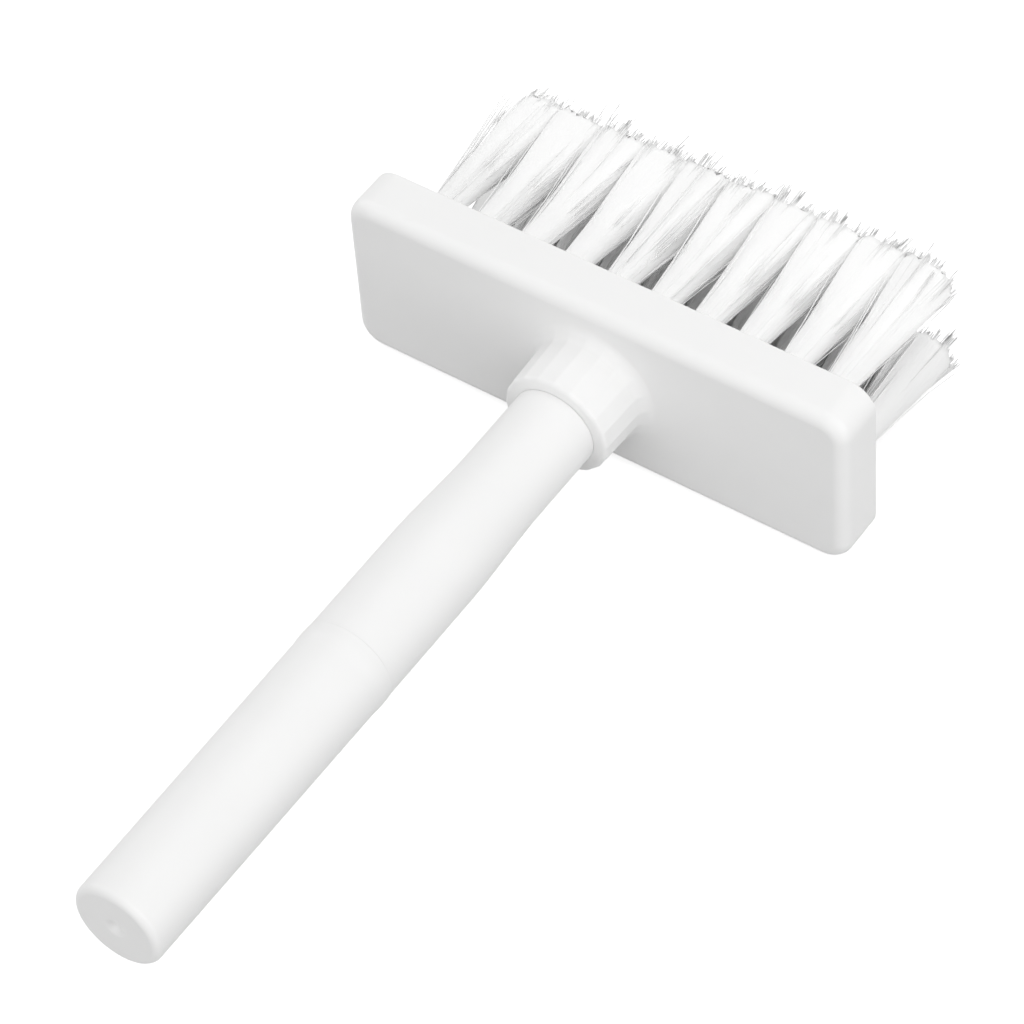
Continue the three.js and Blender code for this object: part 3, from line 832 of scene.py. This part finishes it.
def make_wire(name, side):
    """One loop of the puller: two legs, a flare, and a hooked foot turned inwards."""
    leg_x, leg_z = wire_leg()
    loop_x = WIRE_LOOP_RADIUS * math.cos(WIRE_LOOP_ANGLE)
    loop_z = WIRE_LOOP_RADIUS * math.sin(WIRE_LOOP_ANGLE)
    rear = PLUG_LOW[1]
    flare = rear - PLUG_FLANGE
    tip = WIRE_LOW[1] + WIRE_RADIUS
    leg = [
        ((leg_x, rear + WIRE_SOCKET_DEPTH, leg_z), 0),
        ((leg_x, flare, leg_z), WIRE_FLARE_BEND),
        ((loop_x, flare - WIRE_FLARE, loop_z), WIRE_FLARE_BEND),
        ((loop_x, tip + WIRE_HOOK_RISE, loop_z), WIRE_HOOK_BEND),
        ((loop_x - WIRE_HOOK, tip, loop_z), WIRE_HOOK_BEND),
    ]
    points = leg + [((x, y, -z), reach) for (x, y, z), reach in reversed(leg)]
    corners = [Vector((side * x, y, AXIS_Z + z)) for (x, y, z), _ in points]
    route = rounded_route(corners, [reach for _, reach in points])
    return smooth(placed(name, round_wire(name, route)), WIRE_SHARP_DEGREES)


# Materials: tones, roughness from least to most, and noise scales per metre
WHITE_TONES = (0.86, 0.86, 0.857), (0.88, 0.88, 0.877)
WHITE_ROUGHNESS = 0.46, 0.56
GREY_TONES = (0.66, 0.66, 0.655), (0.71, 0.71, 0.705)
GREY_ROUGHNESS = 0.42, 0.52
PLASTIC_IOR = 1.5
MOTTLE_SCALE = 90
SHEEN_SCALE = 260
GRAIN_SCALE = 3200
GRAIN_STRENGTH = 0.12
GRAIN_HEIGHT = 0.02 * MM

NYLON_TONES = (0.945, 0.945, 0.942), (0.97, 0.97, 0.967)
NYLON_ROUGHNESS = 0.38, 0.52
NYLON_IOR = 1.53
NYLON_STRETCH = 0.06
STRAND_TONE_SCALE = 2600
STRAND_SHEEN_SCALE = 900
STRAND_RELIEF_SCALE = 2000
STRAND_RELIEF_STRENGTH = 0.4
STRAND_RELIEF_HEIGHT = 0.2 * MM
# Painted shade at the tips: a grey laid in patches over the strands' ends, standing in for the
# shade between them
TIP_SHADE_TONE = (0.42, 0.42, 0.418)
TIP_SHADE_SCALE = 1900
TIP_SHADE_SPREAD = 0.42, 0.62
TIP_SHADE_START = -0.9 * MM
TIP_SHADE_END = 0.7 * MM

STEEL_TONE = (0.62, 0.63, 0.65)
STEEL_LINE_SHADE = 0.9
STEEL_ROUGHNESS = 0.2, 0.32
STEEL_STRETCH = 0.05
STEEL_LINE_SCALE = 6000
STEEL_LINE_STRENGTH = 0.1
STEEL_LINE_HEIGHT = 0.01 * MM

NOISE_ROUGHNESS = 0.55
NOISE_SPREAD = 0.3, 0.7


def node_material(name):
    """A fresh node material: its tree, its shader and the object's own coordinates."""
    material = bpy.data.materials.new(name)
    material.use_nodes = True
    tree = material.node_tree
    shader = tree.nodes["Principled BSDF"]
    place = tree.nodes.new("ShaderNodeTexCoord").outputs["Object"]
    return material, tree, shader, place


def stretched(tree, place, share):
    """Coordinates that draw a texture out along the handle."""
    mapping = tree.nodes.new("ShaderNodeMapping")
    mapping.inputs["Scale"].default_value = (1, share, 1)
    tree.links.new(place, mapping.inputs["Vector"])
    return mapping.outputs["Vector"]


def noise(tree, place, scale, detail=3.0):
    """Fine noise of a given scale, per metre."""
    texture = tree.nodes.new("ShaderNodeTexNoise")
    texture.inputs["Scale"].default_value = scale
    texture.inputs["Detail"].default_value = detail
    texture.inputs["Roughness"].default_value = NOISE_ROUGHNESS
    tree.links.new(place, texture.inputs["Vector"])
    return texture.outputs["Fac"]


def vary(tree, factor, bounds, spread=NOISE_SPREAD):
    """A number that runs from one bound to the other, as a factor runs over its spread."""
    scaled = tree.nodes.new("ShaderNodeMapRange")
    scaled.inputs["From Min"].default_value, scaled.inputs["From Max"].default_value = spread
    scaled.inputs["To Min"].default_value, scaled.inputs["To Max"].default_value = bounds
    tree.links.new(factor, scaled.inputs["Value"])
    return scaled.outputs["Result"]


def tint(tree, factor, low, high):
    """A colour between two, by a factor. The first may come from another node."""
    mix = tree.nodes.new("ShaderNodeMix")
    mix.data_type = "RGBA"
    if isinstance(low, bpy.types.NodeSocket):
        tree.links.new(low, mix.inputs["A"])
    else:
        mix.inputs["A"].default_value = (*low, 1)
    mix.inputs["B"].default_value = (*high, 1)
    tree.links.new(factor, mix.inputs["Factor"])
    return mix.outputs["Result"]


def bump(tree, shader, height, strength, distance):
    """Fine relief on a shader's normal."""
    relief = tree.nodes.new("ShaderNodeBump")
    relief.inputs["Strength"].default_value = strength
    relief.inputs["Distance"].default_value = distance
    tree.links.new(height, relief.inputs["Height"])
    tree.links.new(relief.outputs["Normal"], shader.inputs["Normal"])


def moulded_plastic(name, tones, roughness):
    """Satin injection-moulded plastic: faint mottling, uneven sheen and a fine moulded grain."""
    material, tree, shader, place = node_material(name)
    tone = tint(tree, noise(tree, place, MOTTLE_SCALE), *tones)
    sheen = vary(tree, noise(tree, place, SHEEN_SCALE, detail=4), roughness)
    grain = noise(tree, place, GRAIN_SCALE, detail=2)
    tree.links.new(tone, shader.inputs["Base Color"])
    tree.links.new(sheen, shader.inputs["Roughness"])
    bump(tree, shader, grain, GRAIN_STRENGTH, GRAIN_HEIGHT)
    shader.inputs["IOR"].default_value = PLASTIC_IOR
    return material


def painted_tip_shade(tree, place, along):
    """How much painted shade a strand gets: 0 along its length, and up to 1 here and there past the
    tip line.
    """
    reach = tree.nodes.new("ShaderNodeVectorMath")
    reach.operation = "DOT_PRODUCT"
    reach.inputs[1].default_value = (-FILAMENT_LENGTH_SLOPE, 1, 0)
    tree.links.new(place, reach.inputs[0])
    tip_line = BLOCK_HIGH[1] + FILAMENT_LENGTH
    tip = vary(tree, reach.outputs["Value"], (0, 1), (tip_line + TIP_SHADE_START, tip_line + TIP_SHADE_END))
    patches = vary(tree, noise(tree, along, TIP_SHADE_SCALE), (0, 1), TIP_SHADE_SPREAD)
    tip_shade = tree.nodes.new("ShaderNodeMath")
    tip_shade.operation = "MULTIPLY"
    tree.links.new(tip, tip_shade.inputs[0])
    tree.links.new(patches, tip_shade.inputs[1])
    return tip_shade.outputs["Value"]


def nylon():
    """White nylon strands of slightly different tone, with painted shade greying the tips here and
    there.
    """
    material, tree, shader, place = node_material("white_nylon")
    along = stretched(tree, place, NYLON_STRETCH)
    unshaded_tone = tint(tree, noise(tree, along, STRAND_TONE_SCALE), *NYLON_TONES)
    # Painted shade: the grey at the tips stands in for the shade between the strands' ends
    tone = tint(tree, painted_tip_shade(tree, place, along), unshaded_tone, TIP_SHADE_TONE)
    sheen = vary(tree, noise(tree, along, STRAND_SHEEN_SCALE), NYLON_ROUGHNESS)
    relief = noise(tree, along, STRAND_RELIEF_SCALE)
    tree.links.new(tone, shader.inputs["Base Color"])
    tree.links.new(sheen, shader.inputs["Roughness"])
    bump(tree, shader, relief, STRAND_RELIEF_STRENGTH, STRAND_RELIEF_HEIGHT)
    shader.inputs["IOR"].default_value = NYLON_IOR
    return material


def drawn_steel():
    """Drawn or turned steel with fine lines along the handle."""
    material, tree, shader, place = node_material("steel")
    lines = noise(tree, stretched(tree, place, STEEL_STRETCH), STEEL_LINE_SCALE, detail=4)
    shade = [level * STEEL_LINE_SHADE for level in STEEL_TONE]
    tree.links.new(tint(tree, lines, shade, STEEL_TONE), shader.inputs["Base Color"])
    tree.links.new(vary(tree, lines, STEEL_ROUGHNESS), shader.inputs["Roughness"])
    bump(tree, shader, lines, STEEL_LINE_STRENGTH, STEEL_LINE_HEIGHT)
    shader.inputs["Metallic"].default_value = 1
    return material


WHITE = moulded_plastic("white_plastic", WHITE_TONES, WHITE_ROUGHNESS)
GREY = moulded_plastic("grey_plastic", GREY_TONES, GREY_ROUGHNESS)
NYLON = nylon()
STEEL = drawn_steel()


# Pieces

def paint(piece, material):
    """Gives a piece one material."""
    piece.data.materials.clear()
    piece.data.materials.append(material)


def dress(piece, material, body, slot, *nodes):
    """Gives a piece its material and body, and hides the nodes that it stands for. The slot is not
    used.
    """
    paint(piece, material)
    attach(piece, body)
    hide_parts(*nodes)


dress(make_head_shell(), WHITE, "brush_head", "white_plastic", "head_shell")
dress(make_tuft_block(), WHITE, "brush_head", "white_plastic", "tuft_block")
for number, (node, centres) in enumerate(ROWS.items()):
    bristles = make_bristles(node + "_filaments", centres, SEED + number)
    dress(bristles, NYLON, "brush_head", "white_nylon", node)
dress(make_barrel(), WHITE, "handle", "white_plastic", "barrel")
dress(make_cap(), WHITE, "cap", "white_plastic", "cap")
dress(make_nib_holder(), GREY, "handle", "grey_plastic", "nib_holder")
dress(make_nib(), STEEL, "handle", "steel", "metal_nib")
dress(make_puller_plug(), GREY, "handle", "grey_plastic", "puller_plug")
dress(make_wire("wire_loop_left", -1), STEEL, "handle", "steel", "puller_wire_left")
dress(make_wire("wire_loop_right", 1), STEEL, "handle", "steel", "puller_wire_right")
for node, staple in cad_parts.items():
    if node.startswith("anchor_staple"):
        paint(staple, STEEL)


# Stage, light and camera
FLOOR_SIZE = 6.0
FLOOR_TONE = 0.3
FLOOR_SHADOW_TONE = 0.6
FLOOR_GLOW = 0.7
AMBIENT = 0.512
LAMP_AIM = Vector((0, -0.03, 0.02))

# Each lamp's place, size and power
LAMPS = {
    "key": ((0.45, -0.1, 0.75), 0.6, 1.7),
    "front fill": ((0.1, -1.7, 0.5), 1, 8.8),
    "left fill": ((-0.7, 0.05, 0.35), 0.4, 1.32),
    "right fill": ((0.75, -0.05, 0.2), 0.4, 1.54),
    "rear fill": ((0, 0.45, 0.75), 0.6, 1.1),
    "tip fill": ((0, 0.9, 0.12), 0.5, 0.8),
}

# The camera that the photograph's outlines fit: a long lens from above the handle's right
CAMERA_RIGHT = Vector((0.82448, 0.56321, -0.05504))
CAMERA_UP = Vector((-0.39925, 0.64787, 0.64874))
CAMERA_FROM_HEAD = Vector((0.33664, -0.46015, 0.62841))
CAMERA_LENS = 176.9
CAMERA_SENSOR = 36


def seen_directly(tree):
    """1 for rays from the camera and for those that mirror or pass straight on, else 0."""
    path = tree.nodes.new("ShaderNodeLightPath")
    total = path.outputs["Is Camera Ray"]
    for other in ("Is Glossy Ray", "Is Transmission Ray"):
        largest = tree.nodes.new("ShaderNodeMath")
        largest.operation = "MAXIMUM"
        tree.links.new(total, largest.inputs[0])
        tree.links.new(path.outputs[other], largest.inputs[1])
        total = largest.outputs["Value"]
    return total


def matt(tree, tone):
    """A plain grey shader."""
    shader = tree.nodes.new("ShaderNodeBsdfDiffuse")
    shader.inputs["Color"].default_value = (tone, tone, tone, 1)
    return shader.outputs["BSDF"]


def make_floor():
    """A floor that is seen as white with a faint shadow, and throws less light back up."""
    bpy.ops.mesh.primitive_plane_add(size=FLOOR_SIZE, location=(0, 0, HEAD_LOW[2]))
    floor = bpy.context.object
    floor.name = "floor"
    material = bpy.data.materials.new("floor_white")
    material.use_nodes = True
    tree = material.node_tree
    tree.nodes.clear()
    glow = tree.nodes.new("ShaderNodeEmission")
    glow.inputs["Strength"].default_value = FLOOR_GLOW
    both = tree.nodes.new("ShaderNodeAddShader")
    tree.links.new(matt(tree, FLOOR_SHADOW_TONE), both.inputs[0])
    tree.links.new(glow.outputs["Emission"], both.inputs[1])
    choose = tree.nodes.new("ShaderNodeMixShader")
    tree.links.new(seen_directly(tree), choose.inputs["Fac"])
    tree.links.new(matt(tree, FLOOR_TONE), choose.inputs[1])
    tree.links.new(both.outputs["Shader"], choose.inputs[2])
    output = tree.nodes.new("ShaderNodeOutputMaterial")
    tree.links.new(choose.outputs["Shader"], output.inputs["Surface"])
    floor.data.materials.append(material)


def make_world():
    """Even white surroundings, seen as plain white."""
    world = bpy.data.worlds.new("studio")
    bpy.context.scene.world = world
    world.use_nodes = True
    tree = world.node_tree
    background = tree.nodes["Background"]
    background.inputs["Color"].default_value = (1, 1, 1, 1)
    level = tree.nodes.new("ShaderNodeMapRange")
    level.inputs["To Min"].default_value = AMBIENT
    level.inputs["To Max"].default_value = 1
    tree.links.new(seen_directly(tree), level.inputs["Value"])
    tree.links.new(level.outputs["Result"], background.inputs["Strength"])


def make_lamp(name, place, size, power):
    """A square soft lamp that points at the brush."""
    lamp = bpy.data.lights.new(name, "AREA")
    lamp.shape = "SQUARE"
    lamp.size = size
    lamp.energy = power
    holder = placed(name, lamp)
    holder.location = place
    holder.rotation_euler = (LAMP_AIM - Vector(place)).to_track_quat("-Z", "Y").to_euler()


def make_camera():
    """The camera at the photograph's place and angle."""
    data = bpy.data.cameras.new("photo_view")
    data.lens = CAMERA_LENS
    data.sensor_width = CAMERA_SENSOR
    camera = placed("photo_view", data)
    right = CAMERA_RIGHT.normalized()
    back = right.cross(CAMERA_UP).normalized()
    up = back.cross(right)
    turn = Matrix((right, up, back)).transposed().to_4x4()
    camera.matrix_world = Matrix.Translation(CAMERA_FROM_HEAD + Vector((0, 0, AXIS_Z))) @ turn
    bpy.context.scene.camera = camera


make_floor()
make_world()
for lamp_name, (place, size, power) in LAMPS.items():
    make_lamp(lamp_name, place, size, power)
make_camera()
bpy.context.scene.view_settings.view_transform = "Standard"
